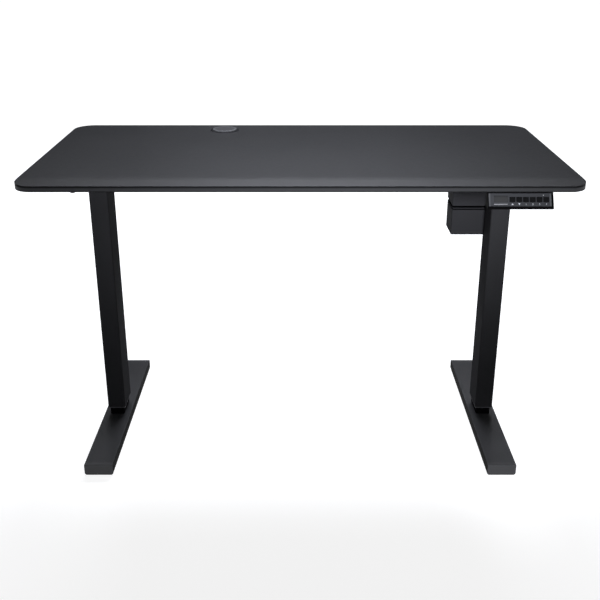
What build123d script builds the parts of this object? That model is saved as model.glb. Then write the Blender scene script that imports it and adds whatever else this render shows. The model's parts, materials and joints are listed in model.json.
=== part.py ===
"""Height adjustable standing desk: two telescopic columns on flat feet, lifted by one motor.

The motor beside the right column turns a worm, its wheel turns a spur pair, and the spur pair
turns a hexagonal cross shaft. A mitre gear pair at the top of each column passes that turn on to
a lead screw, whose nut is fixed in the inner column that stands in the foot.

Frame: millimetres, +Z up. The origin is on the floor under the middle of the desktop, +X runs
along the desktop towards the handset's end, and the user sits on the -Y side.
"""

import os
from math import cos, pi, radians, sin, tan

from build123d import *

# ---------------------------------------------------------------- fits
running = 0.08  # radial clearance of a shaft in its bore
moving_gap = 0.3  # clearance between two bodies that slide past each other
hole_clearance = 0.25  # radial clearance of a bolt in a plain hole

# ---------------------------------------------------------------- desktop
top_width = 1200.0
top_depth = 600.0
top_thickness = 16.0
back_corner_radius = 48.0
front_corner_radius = 40.0
slope_start = 68.0  # from the front edge to where the top starts to fall
slope_bend = 30.0  # length over which the fall is rounded in
slope_angle = 3.25  # degrees, of the straight part of the fall
top_edge_radius = 1.5

# ---------------------------------------------------------------- feet and levelling glides
glide_pad_height = 2.5
glide_pad_radius = 15.0
glide_stem_radius = 4.0
glide_stem_length = 21.0
glide_chamfer = 0.8
glide_inset = 37.5  # from the foot's end to the glide
foot_inset = 27.0  # of the foot's ends from the desktop's front and back edges
foot_width = 68.5
foot_height = 28.0
foot_wall = 2.0
foot_top_radius = 1.5
foot_bottom_radius = 6.0
foot_cap_length = 11.0
foot_cap_plug = 14.0
foot_cap_plug_wall = 2.0
foot_cap_round = 1.0
insert_radius = 7.5
insert_height = 12.0

# ---------------------------------------------------------------- columns
column_inset = 118.2  # of the column's middle from the desktop's end
outer_width = 45.1
outer_depth = 80.0
outer_wall = 1.8
outer_corner_radius = 4.0
outer_length = 653.7
column_slack = 2.95  # between the outer tube's inside and the inner tube
inner_wall = 1.6
inner_corner_radius = 3.0
inner_top_gap = 10.0  # from the inner tube's top to the gear case when the desk is down
closed_gap = 19.8  # inner tube left in sight under the collar when the desk is down
collar_rim = 2.5
collar_insert = 25.0
collar_recess = 0.6
sleeve_length = 60.0
sleeve_drop = 4.0  # from the inner tube's top to the slide sleeve
base_plate_thickness = 6.0
foot_bolt_radius = 3.0
foot_bolt_head_radius = 5.5
foot_bolt_head_height = 4.0
foot_bolt_spacing_x = 16.0
foot_bolt_spacing_y = 44.0
foot_bolt_access_radius = 7.0
foot_bolt_spare = 2.0  # of the bolt past the base plate
nut_height = 36.0
travel = 450.0

# ---------------------------------------------------------------- side brackets and rails
bracket_wall = 2.5
bracket_inset = 34.0  # of the bracket's tips from the desktop's front and back edges
bracket_flange = 22.0
bracket_tip_flange = 5.0
bracket_taper = 77.0  # length over which the flange rises to its tip
bracket_tip = 24.0  # flat tongue beyond the flanges at each end
bracket_tip_radius = 12.0
tip_screw_inset = 9.0
inner_screw_y = 150.0
rail_width = 40.0
rail_height = 20.0
rail_wall = 1.5
rail_end_plate = 3.0
rail_y = 125.0
rail_corner_radius = 3.0
frame_bolt_radius = 3.0
frame_bolt_head_radius = 5.5
frame_bolt_head_height = 3.3
frame_bolt_grip = 9.0
frame_bolt_drop = 11.0  # from the bracket's top to the column bolts
column_bolt_y = 30.0
rail_bolt_spread = 22.0
screw_radius = 2.5
screw_length = 15.0
screw_head_radius = 5.0
screw_head_height = 5.0
screw_head_taper = 12.0  # degrees
small_screw_radius = 2.0
small_screw_head_radius = 4.0
small_screw_head_height = 2.4
small_screw_length = 14.0
washer_radius = 8.0
washer_thickness = 2.0
pad_thickness = 3.0  # rubber between the side bracket and the desktop
pad_length = 30.0
pad_corner = 8.0

# ---------------------------------------------------------------- gear teeth, in modules
tooth_tip = 0.85
tooth_root = 1.15
flank_angle = 20.0

# ---------------------------------------------------------------- drive in the column heads
case_height = 80.0
case_floor = 12.0
case_pocket_x = 34.0
case_pocket_y = 42.0
case_corner_radius = 3.0
spindle_radius = 6.0
lead_screw_radius = 7.0
lead_screw_spare = 4.0  # of the screw past its nut at full height
lead_screw_chamfer = 1.5
bearing_radius = 13.0
bearing_height = 7.0
mitre_module = 1.5
mitre_teeth = 16
mitre_backlash = 0.22
mitre_face = 5.5
mitre_hub_radius = 7.0
screw_hub_radius = 8.0
hub_overhang = 6.0  # of the shaft's hub past the column wall
shaft_height = 33.0  # from the case's underside to the cross shaft
shaft_across_flats = 8.0
shaft_hole_radius = 10.0

# ---------------------------------------------------------------- motor unit
unit_width = 83.3
unit_depth = 75.0
unit_front = 23.0  # from the column's middle plane to the unit's front
unit_edge_radius = 4.0
unit_wall = 3.0
unit_drop = 197.5  # from the side bracket's web to the unit's bottom
cover_height = 65.0
cover_bottom_radius = 3.0
lower_groove = 2.0  # shadow grooves above and below the strip round the unit
upper_groove = 5.0
groove_depth = 2.4
strip_height = 3.6
shell_drop = 20.0  # from the bracket's web to the gearbox shell's top, under the bracket's flange
shell_nose = 49.0  # how far the shell's upper part reaches in front of the motor
shell_nose_height = 50.0
shell_corner = 5.0
shell_lid = 3.0
shell_edge_radius = 2.5  # of the edges round its two end faces
motor_radius = 26.0
motor_base_gap = 3.0
motor_length = 106.0
motor_slack = 0.3
motor_edge_radius = 2.0
motor_seat_inset = 2.0  # of the seat ring inside the motor's outline
motor_shaft_radius = 4.0
motor_shaft_depth = 12.0  # held inside the motor
motor_nose_radius = 11.0
motor_nose_length = 4.0
worm_length = 30.0
worm_module = 1.5
worm_wheel_teeth = 25
worm_gap = 0.4
spur_module = 1.5
spur_teeth = 22
spur_backlash = 0.2
spur_face = 10.0
spur_inset = 17.0  # of the spur pair from the shell's end wall
jack_radius = 5.0
jack_journal = 3.0
jack_boss_wall = 3.0

# ---------------------------------------------------------------- control box
box_length = 232.0
box_depth = 82.0
box_height = 34.0
box_wall = 2.2
box_radius = 5.0
box_edge_radius = 2.0
box_rail_gap = 19.0  # behind the rear rail
plate_thickness = 2.0
ear_length = 18.0
ear_hole_spread = 55.0  # between the two holes at each end
ear_hole_radius = 2.25
board_thickness = 1.6
board_standoff = 8.0
board_end_gap = 17.0
board_side_gap = 7.0
standoff_inset_x = 20.0
standoff_inset_y = 14.0
standoff_radius = 3.5
part_height = 16.0  # of the tallest parts on the control board
transformer_length = 42.0
transformer_width = 34.0
transformer_place = -40.0
capacitor_radius = 8.0
capacitor_place = 20.0
capacitor_pitch = 24.0
heatsink_length = 24.0
heatsink_width = 46.0
heatsink_place = 62.0
socket_depth = 14.0
power_socket_width = 24.0
power_socket_height = 19.0
power_socket_rim_x = 2.5
power_socket_rim_y = 3.0
power_socket_corner = 3.0
port_width = 13.0
port_height = 12.0
port_pitch = 21.0
port_rim_x = 1.5
port_rim_y = 2.0
socket_back = 3.0

# ---------------------------------------------------------------- handset
handset_right_inset = 71.0  # of its right end from the desktop's right end
handset_width = 138.0
handset_nose = 0.4  # from the desktop's front edge back to the handset's lower front edge
handset_lean = 30.0  # degrees, of its face from upright, so that it faces the user
handset_height = 37.6
handset_depth = 28.0
handset_wall = 2.2
handset_edge_radius = 1.5
handset_end_radius = 3.0  # of its lower corners, seen from the front
handset_slant_start = 16.0  # the housing's underside rises towards its back
handset_slant_height = 9.0
handset_ear_depth = 12.0
handset_ear_width = 14.0
handset_ear_inset = 12.0
handset_ear_thickness = 3.0
handset_chin = 6.0  # dark rim left under the fascia
handset_left_rim = 2.5
handset_right_rim = 4.5
fascia_height = 32.0
fascia_thickness = 1.2
key_count = 6
key_pitch = 14.1
key_width = 12.0
key_height = 11.3
key_first = 52.0  # from the handset's left end to the middle of the first key
key_rise = 21.8  # up the face, from its lower edge to the keys' middle
key_proud = 0.8
key_travel = 0.6
key_gap = 0.2
key_lip = 0.7
key_lip_thickness = 1.0
key_corner = 1.2
key_chamfer = 0.3
display_width = 30.0
display_height = 14.0
display_from_left = 13.0
display_rise = 23.3
display_rim = 1.5
lamp_radius = 0.9
lamp_from_left = 116.9
lamp_rise = 31.2
handset_board_thickness = 1.6
handset_board_height = 24.0
switch_height = 2.6
switch_size = 6.0
switch_gap = 0.3

# ---------------------------------------------------------------- cable grommet
grommet_left_inset = 401.0  # of its middle from the desktop's left end
grommet_back_inset = 64.0
grommet_hole_radius = 30.0
grommet_flange_radius = 37.0
grommet_flange_height = 1.6
grommet_flange_round = 0.9
grommet_wall = 2.0
grommet_sleeve = 21.0
cap_radius = 31.5
cap_height = 2.4
cap_round = 1.2
cap_skirt_wall = 1.6
cap_skirt_depth = 7.0
cap_gap = 0.2

# ---------------------------------------------------------------- heights, from the floor up
foot_bottom = glide_pad_height
foot_top = foot_bottom + foot_height
collar_bottom = foot_top + closed_gap
outer_bottom = collar_bottom + collar_rim
web_bottom = outer_bottom + outer_length  # underside of the side bracket's web
web_top = web_bottom + bracket_wall
underside = web_top + pad_thickness
top_surface = underside + top_thickness
case_bottom = web_bottom - case_height
shaft_z = case_bottom + shaft_height
inner_top = case_bottom - inner_top_gap
inner_length = inner_top - foot_top
lead_screw_length = inner_top_gap + nut_height + travel + lead_screw_spare

# ---------------------------------------------------------------- places in plan
column_x = top_width / 2 - column_inset
front_y = -top_depth / 2
foot_length = top_depth - 2 * foot_inset
bracket_length = top_depth - 2 * bracket_inset
grommet_x = grommet_left_inset - top_width / 2
grommet_y = top_depth / 2 - grommet_back_inset
handset_x = top_width / 2 - handset_right_inset - handset_width
handset_right = handset_x + handset_width
handset_ear_y = front_y + handset_nose + handset_depth + handset_ear_depth / 2
box_x = 0.0
box_y = rail_y + rail_width / 2 + box_rail_gap + box_depth / 2
screw_ys = [
    bracket_length / 2 - tip_screw_inset,
    inner_screw_y,
    -inner_screw_y,
    tip_screw_inset - bracket_length / 2,
]
ear_places = [
    (box_x + x * (box_length + ear_length) / 2, box_y + y * ear_hole_spread / 2)
    for x in (-1, 1)
    for y in (-1, 1)
]
handset_ears = [
    (handset_x + handset_ear_inset, handset_ear_y),
    (handset_right - handset_ear_inset, handset_ear_y),
]
motor_x = column_x - outer_width / 2 - unit_width / 2
motor_y = unit_front + unit_depth / 2
unit_left = column_x - outer_width / 2 - unit_width
unit_right = column_x - outer_width / 2
wheel_radius = worm_module * worm_wheel_teeth / 2
spur_radius = spur_module * spur_teeth / 2
jack_y = 2 * spur_radius
worm_radius = motor_y - jack_y - wheel_radius - tooth_tip * worm_module - worm_gap
mitre_radius = mitre_module * mitre_teeth / 2
inner_width = outer_width - 2 * outer_wall - 2 * column_slack
inner_depth = outer_depth - 2 * outer_wall - 2 * column_slack
bore_width = outer_width - 2 * outer_wall
bore_depth = outer_depth - 2 * outer_wall

sides = (("left", -1), ("right", 1))

os.makedirs("parts", exist_ok=True)


def save(part, name):
    """Label a finished piece and write it under its own name."""
    part.label = name
    export_step(part, f"parts/{name}.step")


def gear_points(teeth, module, backlash, scale=1.0, turn=0.0):
    """Corners of a straight-flanked tooth outline; turn is in tooth pitches."""
    pitch_radius = teeth * module / 2
    addendum = tooth_tip * module
    dedendum = tooth_root * module
    flank = tan(radians(flank_angle))
    half_tooth = pi * module / 4 - backlash
    tip = (half_tooth - addendum * flank) / (pitch_radius + addendum)
    root = (half_tooth + dedendum * flank) / (pitch_radius - dedendum)
    profile = (
        (pitch_radius - dedendum, -root),
        (pitch_radius + addendum, -tip),
        (pitch_radius + addendum, tip),
        (pitch_radius - dedendum, root),
    )
    return [
        (scale * r * cos(a + 2 * pi * (i + turn) / teeth), scale * r * sin(a + 2 * pi * (i + turn) / teeth))
        for i in range(teeth)
        for r, a in profile
    ]


# ================================================================ desktop
with BuildPart() as desktop:
    with BuildSketch(Plane.XY.offset(underside)) as outline:
        Rectangle(top_width, top_depth)
        fillet(outline.vertices().group_by(Axis.Y)[-1], back_corner_radius)
        fillet(outline.vertices().group_by(Axis.Y)[0], front_corner_radius)
    extrude(amount=top_thickness)
    fillet(desktop.edges().group_by(Axis.Z)[0], top_edge_radius)
    # the top falls gently to the front edge: an arc, then a straight slope
    bend_radius = slope_bend / sin(radians(slope_angle))
    bend_drop = bend_radius * (1 - cos(radians(slope_angle)))
    slope_run = slope_start - slope_bend
    slope_drop = bend_drop + slope_run * tan(radians(slope_angle))
    overrun = 10.0
    with BuildSketch(Plane.YZ.offset(-top_width / 2 - overrun)):
        with BuildLine():
            bend_start = (front_y + slope_start, top_surface)
            bend_end = (front_y + slope_run, top_surface - bend_drop)
            past_front = (
                front_y - overrun,
                top_surface - slope_drop - overrun * tan(radians(slope_angle)),
            )
            TangentArc(bend_start, bend_end, tangent=(-1, 0))
            Polyline(
                bend_end,
                past_front,
                (front_y - overrun, top_surface + overrun),
                (front_y + slope_start, top_surface + overrun),
                bend_start,
            )
        make_face()
    extrude(amount=top_width + 2 * overrun, mode=Mode.SUBTRACT)
    with BuildSketch(Plane.XY.offset(underside)):
        with Locations((grommet_x, grommet_y)):
            Circle(grommet_hole_radius)
    extrude(amount=top_thickness, mode=Mode.SUBTRACT)
    # pilot holes for the screws of the side brackets, the control box and the handset
    with BuildSketch(Plane.XY.offset(underside)):
        for side_x in (-column_x, column_x):
            for screw_y in screw_ys:
                with Locations((side_x, screw_y)):
                    Circle(screw_radius)
    extrude(amount=screw_length - bracket_wall - pad_thickness, mode=Mode.SUBTRACT)
    with BuildSketch(Plane.XY.offset(underside)):
        with Locations(*ear_places, *handset_ears):
            Circle(small_screw_radius)
    extrude(amount=small_screw_length - handset_ear_thickness, mode=Mode.SUBTRACT)
save(desktop.part, "desktop")

# ================================================================ cable grommet
with BuildPart() as grommet_ring:
    with BuildSketch(Plane.XY.offset(top_surface)):
        with Locations((grommet_x, grommet_y)):
            Circle(grommet_flange_radius)
    extrude(amount=grommet_flange_height)
    fillet(grommet_ring.edges().group_by(Axis.Z)[-1], grommet_flange_round)
    with BuildSketch(Plane.XY.offset(top_surface - grommet_sleeve)):
        with Locations((grommet_x, grommet_y)):
            Circle(grommet_hole_radius)
    extrude(amount=grommet_sleeve)
    with BuildSketch(Plane.XY.offset(top_surface - grommet_sleeve)):
        with Locations((grommet_x, grommet_y)):
            Circle(grommet_hole_radius - grommet_wall)
    extrude(amount=grommet_sleeve + grommet_flange_height, mode=Mode.SUBTRACT)
save(grommet_ring.part, "grommet_ring")

cap_bottom = top_surface + grommet_flange_height + cap_gap
skirt_radius = grommet_hole_radius - grommet_wall - moving_gap
with BuildPart() as grommet_cap:
    with BuildSketch(Plane.XY.offset(cap_bottom)):
        with Locations((grommet_x, grommet_y)):
            Circle(cap_radius)
    extrude(amount=cap_height)
    fillet(grommet_cap.edges().group_by(Axis.Z)[-1], cap_round)
    with BuildSketch(Plane.XY.offset(cap_bottom - cap_skirt_depth)):
        with Locations((grommet_x, grommet_y)):
            Circle(skirt_radius)
            Circle(skirt_radius - cap_skirt_wall, mode=Mode.SUBTRACT)
    extrude(amount=cap_skirt_depth)
save(grommet_cap.part, "grommet_cap")

# ================================================================ feet, glides and inner columns
glide_y = foot_length / 2 - glide_inset
foot_bolt_places = [
    (x * foot_bolt_spacing_x / 2, y * foot_bolt_spacing_y / 2) for x in (-1, 1) for y in (-1, 1)
]


def foot_section(inset):
    """The foot's cross section about its middle, drawn in from its outer faces by inset."""
    with BuildSketch() as section:
        Rectangle(foot_width - 2 * inset, foot_height - 2 * inset)
        for level, radius in ((-1, foot_top_radius), (0, foot_bottom_radius)):
            if radius > inset:
                fillet(section.vertices().group_by(Axis.Y)[level], radius - inset)
    return section.sketch


foot_outline = foot_section(0)
foot_bore = foot_section(foot_wall)
for side, sign in sides:
    leg_x = sign * column_x
    tube_length = foot_length - 2 * foot_cap_length

    with BuildPart() as foot:
        with BuildSketch(Plane.XZ.offset(-tube_length / 2)):
            with Locations((leg_x, foot_bottom + foot_height / 2)):
                add(foot_outline)
                add(foot_bore, mode=Mode.SUBTRACT)
        extrude(amount=tube_length)
        # threaded inserts for the levelling glides
        with BuildSketch(Plane.XY.offset(foot_bottom)):
            with Locations((leg_x, -glide_y), (leg_x, glide_y)):
                Circle(insert_radius)
        extrude(amount=insert_height)
        with BuildSketch(Plane.XY.offset(foot_bottom)):
            with Locations((leg_x, -glide_y), (leg_x, glide_y)):
                Circle(glide_stem_radius + running)
        extrude(amount=insert_height, mode=Mode.SUBTRACT)
        # column bolts: through the top wall, with access holes in the bottom wall
        with BuildSketch(Plane.XY.offset(foot_top - foot_wall)):
            with Locations(*[(leg_x + x, y) for x, y in foot_bolt_places]):
                Circle(foot_bolt_radius + hole_clearance)
        extrude(amount=foot_wall, mode=Mode.SUBTRACT)
        with BuildSketch(Plane.XY.offset(foot_bottom)):
            with Locations(*[(leg_x + x, y) for x, y in foot_bolt_places]):
                Circle(foot_bolt_access_radius)
        extrude(amount=foot_wall, mode=Mode.SUBTRACT)
    save(foot.part, f"{side}_foot")

    with BuildPart() as foot_caps:
        for end in (-1, 1):
            cap_plane = Plane(
                origin=(leg_x, end * tube_length / 2, foot_bottom + foot_height / 2),
                x_dir=(-end, 0, 0),
                z_dir=(0, end, 0),
            )
            with BuildSketch(cap_plane):
                add(foot_outline)
            extrude(amount=foot_cap_length)
            with BuildSketch(cap_plane):
                add(foot_bore)
                Rectangle(
                    foot_width - 2 * foot_wall - 2 * foot_cap_plug_wall,
                    foot_height - 2 * foot_wall - 2 * foot_cap_plug_wall,
                    mode=Mode.SUBTRACT,
                )
            extrude(amount=-foot_cap_plug)
            end_face = foot_caps.faces().sort_by(Axis.Y)[0 if end < 0 else -1]
            fillet(end_face.outer_wire().edges(), foot_cap_round)
    save(foot_caps.part, f"{side}_foot_caps")

    for end, place in ((-1, "front"), (1, "rear")):
        with BuildPart() as glide:
            with BuildSketch(Plane.XY):
                with Locations((leg_x, end * glide_y)):
                    Circle(glide_pad_radius)
            extrude(amount=glide_pad_height)
            chamfer(glide.edges().group_by(Axis.Z)[0], glide_chamfer)
            with BuildSketch(Plane.XY.offset(glide_pad_height)):
                with Locations((leg_x, end * glide_y)):
                    Circle(glide_stem_radius)
            extrude(amount=glide_stem_length)
            chamfer(glide.edges().group_by(Axis.Z)[-1], glide_chamfer)
        save(glide.part, f"{side}_{place}_glide")

    with BuildPart() as inner_column:
        with BuildSketch(Plane.XY.offset(foot_top)):
            with Locations((leg_x, 0)):
                RectangleRounded(inner_width, inner_depth, inner_corner_radius)
                RectangleRounded(
                    inner_width - 2 * inner_wall,
                    inner_depth - 2 * inner_wall,
                    inner_corner_radius - inner_wall,
                    mode=Mode.SUBTRACT,
                )
        extrude(amount=inner_length)
        # the base plate welded into its lower end takes the foot bolts
        with BuildSketch(Plane.XY.offset(foot_top)):
            with Locations((leg_x, 0)):
                Rectangle(inner_width - inner_wall, inner_depth - inner_wall)
            with Locations(*[(leg_x + x, y) for x, y in foot_bolt_places]):
                Circle(foot_bolt_radius, mode=Mode.SUBTRACT)
        extrude(amount=base_plate_thickness)
    save(inner_column.part, f"{side}_inner_column")

    with BuildPart() as foot_bolts:
        for x, y in foot_bolt_places:
            with BuildSketch(Plane.XY.offset(foot_top - foot_wall - foot_bolt_head_height)):
                with Locations((leg_x + x, y)):
                    Circle(foot_bolt_head_radius)
            extrude(amount=foot_bolt_head_height)
            with BuildSketch(Plane.XY.offset(foot_top - foot_wall)):
                with Locations((leg_x + x, y)):
                    Circle(foot_bolt_radius)
            extrude(amount=foot_wall + base_plate_thickness + foot_bolt_spare)
    save(foot_bolts.part, f"{side}_foot_bolts")

    with BuildPart() as lift_nut:
        with BuildSketch(Plane.XY.offset(inner_top - nut_height)):
            with Locations((leg_x, 0)):
                RectangleRounded(
                    inner_width - 2 * inner_wall,
                    inner_depth - 2 * inner_wall,
                    inner_corner_radius - inner_wall,
                )
                Circle(lead_screw_radius + running, mode=Mode.SUBTRACT)
        extrude(amount=nut_height)
    save(lift_nut.part, f"{side}_lift_nut")

    with BuildPart() as slide_sleeve:
        with BuildSketch(Plane.XY.offset(inner_top - sleeve_drop - sleeve_length)):
            with Locations((leg_x, 0)):
                RectangleRounded(
                    bore_width - 2 * moving_gap,
                    bore_depth - 2 * moving_gap,
                    inner_corner_radius + column_slack - moving_gap,
                )
                RectangleRounded(inner_width, inner_depth, inner_corner_radius, mode=Mode.SUBTRACT)
        extrude(amount=sleeve_length)
    save(slide_sleeve.part, f"{side}_slide_sleeve")

# ================================================================ outer columns and collars
for side, sign in sides:
    leg_x = sign * column_x
    with BuildPart() as outer_column:
        with BuildSketch(Plane.XY.offset(outer_bottom)):
            with Locations((leg_x, 0)):
                RectangleRounded(outer_width, outer_depth, outer_corner_radius)
                RectangleRounded(
                    bore_width, bore_depth, outer_corner_radius - outer_wall, mode=Mode.SUBTRACT
                )
        extrude(amount=outer_length)
        # the cross shaft comes in through the wall that faces the other column
        with BuildSketch(Plane.YZ.offset(leg_x)):
            with Locations((0, shaft_z)):
                Circle(shaft_hole_radius)
        extrude(amount=-sign * outer_width / 2, mode=Mode.SUBTRACT)
        # side bolts into the gear case
        with BuildSketch(Plane.YZ.offset(leg_x - outer_width / 2)):
            with Locations(
                (-column_bolt_y, web_bottom - frame_bolt_drop),
                (column_bolt_y, web_bottom - frame_bolt_drop),
            ):
                Circle(frame_bolt_radius)
        extrude(amount=outer_width, mode=Mode.SUBTRACT)
    save(outer_column.part, f"{side}_outer_column")

    with BuildPart() as gear_case:
        with BuildSketch(Plane.XY.offset(case_bottom)):
            with Locations((leg_x, 0)):
                RectangleRounded(bore_width, bore_depth, case_corner_radius)
        extrude(amount=case_height)
        with BuildSketch(Plane.XY.offset(case_bottom + case_floor)):
            with Locations((leg_x, 0)):
                RectangleRounded(case_pocket_x, case_pocket_y, case_corner_radius)
        extrude(amount=case_height - case_floor, mode=Mode.SUBTRACT)
        with BuildSketch(Plane.XY.offset(case_bottom + case_floor - bearing_height)):
            with Locations((leg_x, 0)):
                Circle(bearing_radius)
        extrude(amount=bearing_height, mode=Mode.SUBTRACT)
        with BuildSketch(Plane.XY.offset(case_bottom)):
            with Locations((leg_x, 0)):
                Circle(spindle_radius + running)
        extrude(amount=case_floor, mode=Mode.SUBTRACT)
        with BuildSketch(Plane.YZ.offset(leg_x)):
            with Locations((0, shaft_z)):
                Circle(mitre_hub_radius + running)
        extrude(amount=-sign * bore_width / 2, mode=Mode.SUBTRACT)
        with BuildSketch(Plane.YZ.offset(leg_x - bore_width / 2)):
            with Locations(
                (-column_bolt_y, web_bottom - frame_bolt_drop),
                (column_bolt_y, web_bottom - frame_bolt_drop),
            ):
                Circle(frame_bolt_radius)
        extrude(amount=bore_width, mode=Mode.SUBTRACT)
    save(gear_case.part, f"{side}_gear_case")

with BuildPart() as column_collars:
    for side, sign in sides:
        with BuildSketch(Plane.XY.offset(collar_bottom)):
            with Locations((sign * column_x, 0)):
                RectangleRounded(
                    outer_width - 2 * collar_recess,
                    outer_depth - 2 * collar_recess,
                    outer_corner_radius - collar_recess,
                )
                RectangleRounded(
                    inner_width + 2 * moving_gap,
                    inner_depth + 2 * moving_gap,
                    inner_corner_radius + moving_gap,
                    mode=Mode.SUBTRACT,
                )
        extrude(amount=collar_rim)
        with BuildSketch(Plane.XY.offset(outer_bottom)):
            with Locations((sign * column_x, 0)):
                RectangleRounded(bore_width, bore_depth, inner_corner_radius)
                RectangleRounded(
                    inner_width + 2 * moving_gap,
                    inner_depth + 2 * moving_gap,
                    inner_corner_radius + moving_gap,
                    mode=Mode.SUBTRACT,
                )
        extrude(amount=collar_insert)
save(column_collars.part, "column_collars")

# ================================================================ side brackets, rails and their fasteners
bracket_width = outer_width + 2 * bracket_wall
flange_run = bracket_length / 2 - bracket_tip
flange_full = flange_run - bracket_taper
for side, sign in sides:
    leg_x = sign * column_x
    with BuildPart() as side_bracket:
        with BuildSketch(Plane.XY.offset(web_bottom)) as web:
            with Locations((leg_x, 0)):
                Rectangle(bracket_width, bracket_length)
            fillet(web.vertices(), bracket_tip_radius)
            with Locations(*[(leg_x, y) for y in screw_ys]):
                Circle(screw_radius, mode=Mode.SUBTRACT)
        extrude(amount=bracket_wall)
        # two flanges whose depth tapers towards the tips
        for flange_x in (-bracket_width / 2, outer_width / 2):
            with BuildSketch(Plane.YZ.offset(leg_x + flange_x)):
                with BuildLine():
                    Polyline(
                        (-flange_run, web_bottom),
                        (-flange_run, web_bottom - bracket_tip_flange + bracket_wall),
                        (-flange_full, web_bottom - bracket_flange + bracket_wall),
                        (flange_full, web_bottom - bracket_flange + bracket_wall),
                        (flange_run, web_bottom - bracket_tip_flange + bracket_wall),
                        (flange_run, web_bottom),
                        close=True,
                    )
                make_face()
                bolt_z = web_bottom - frame_bolt_drop
                with Locations((-column_bolt_y, bolt_z), (column_bolt_y, bolt_z)):
                    Circle(frame_bolt_radius, mode=Mode.SUBTRACT)
                for y in (-rail_y, rail_y):
                    with Locations((y - rail_bolt_spread / 2, bolt_z), (y + rail_bolt_spread / 2, bolt_z)):
                        Circle(frame_bolt_radius, mode=Mode.SUBTRACT)
            extrude(amount=bracket_wall)
    save(side_bracket.part, f"{side}_side_bracket")

with BuildPart() as bracket_pads:
    with BuildSketch(Plane.XY.offset(web_top)):
        for side_x in (-column_x, column_x):
            for screw_y in screw_ys:
                inward = -1 if screw_y > 0 else 1
                pad_y = screw_y + inward * (pad_length / 2 - tip_screw_inset)
                with Locations((side_x, pad_y)):
                    RectangleRounded(bracket_width - bracket_wall, pad_length, pad_corner)
                with Locations((side_x, screw_y)):
                    Circle(screw_radius, mode=Mode.SUBTRACT)
    extrude(amount=pad_thickness)
save(bracket_pads.part, "bracket_pads")

rail_length = 2 * column_x - bracket_width
for name, sign_y in (("front_rail", -1), ("rear_rail", 1)):
    with BuildPart() as rail:
        rail_z = web_bottom - rail_height / 2
        with BuildSketch(Plane.YZ.offset(-rail_length / 2)):
            with Locations((sign_y * rail_y, rail_z)):
                RectangleRounded(rail_width, rail_height, rail_corner_radius)
                RectangleRounded(
                    rail_width - 2 * rail_wall,
                    rail_height - 2 * rail_wall,
                    rail_corner_radius - rail_wall,
                    mode=Mode.SUBTRACT,
                )
        extrude(amount=rail_length)
        for start in (-rail_length / 2, rail_length / 2 - rail_end_plate):
            with BuildSketch(Plane.YZ.offset(start)):
                with Locations((sign_y * rail_y, rail_z)):
                    RectangleRounded(rail_width, rail_height, rail_corner_radius)
                for spread in (-rail_bolt_spread / 2, rail_bolt_spread / 2):
                    with Locations((sign_y * rail_y + spread, web_bottom - frame_bolt_drop)):
                        Circle(frame_bolt_radius, mode=Mode.SUBTRACT)
            extrude(amount=rail_end_plate)
    save(rail.part, name)

with BuildPart() as frame_bolts:
    bolt_z = web_bottom - frame_bolt_drop
    bolt_places = [
        (side_sign * column_x + face * bracket_width / 2, y, face)
        for side_sign in (-1, 1)
        for face in (-1, 1)
        for y in (-column_bolt_y, column_bolt_y)
    ]
    bolt_places += [
        (side_sign * (column_x - outer_width / 2), rail_side * rail_y + spread, side_sign)
        for side_sign in (-1, 1)
        for rail_side in (-1, 1)
        for spread in (-rail_bolt_spread / 2, rail_bolt_spread / 2)
    ]
    for x, y, face in bolt_places:
        bolt_plane = Plane(origin=(x, y, bolt_z), x_dir=(0, 1, 0), z_dir=(face, 0, 0))
        with BuildSketch(bolt_plane):
            RegularPolygon(frame_bolt_head_radius, 6)
        extrude(amount=frame_bolt_head_height)
        with BuildSketch(bolt_plane):
            Circle(frame_bolt_radius)
        extrude(amount=-frame_bolt_grip)
save(frame_bolts.part, "frame_bolts")

with BuildPart() as desktop_screws:
    for side_x in (-column_x, column_x):
        for screw_y in screw_ys:
            with BuildSketch(Plane.XY.offset(web_bottom - washer_thickness)):
                with Locations((side_x, screw_y)):
                    Circle(washer_radius)
            extrude(amount=washer_thickness)
            with BuildSketch(Plane.XY.offset(web_bottom - washer_thickness - screw_head_height)):
                with Locations((side_x, screw_y)):
                    Circle(screw_head_radius)
            extrude(amount=screw_head_height, taper=-screw_head_taper)
            with BuildSketch(Plane.XY.offset(web_bottom)):
                with Locations((side_x, screw_y)):
                    Circle(screw_radius)
            extrude(amount=screw_length)
    # smaller pan-head screws for the control box's plate and the handset's ears
    for seat_z, places in (
        (underside - plate_thickness, ear_places),
        (underside - handset_ear_thickness, handset_ears),
    ):
        with BuildSketch(Plane.XY.offset(seat_z - small_screw_head_height)):
            with Locations(*places):
                Circle(small_screw_head_radius)
        extrude(amount=small_screw_head_height)
        with BuildSketch(Plane.XY.offset(seat_z)):
            with Locations(*places):
                Circle(small_screw_radius)
        extrude(amount=small_screw_length - handset_ear_thickness + underside - seat_z)
save(desktop_screws.part, "desktop_screws")

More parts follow.
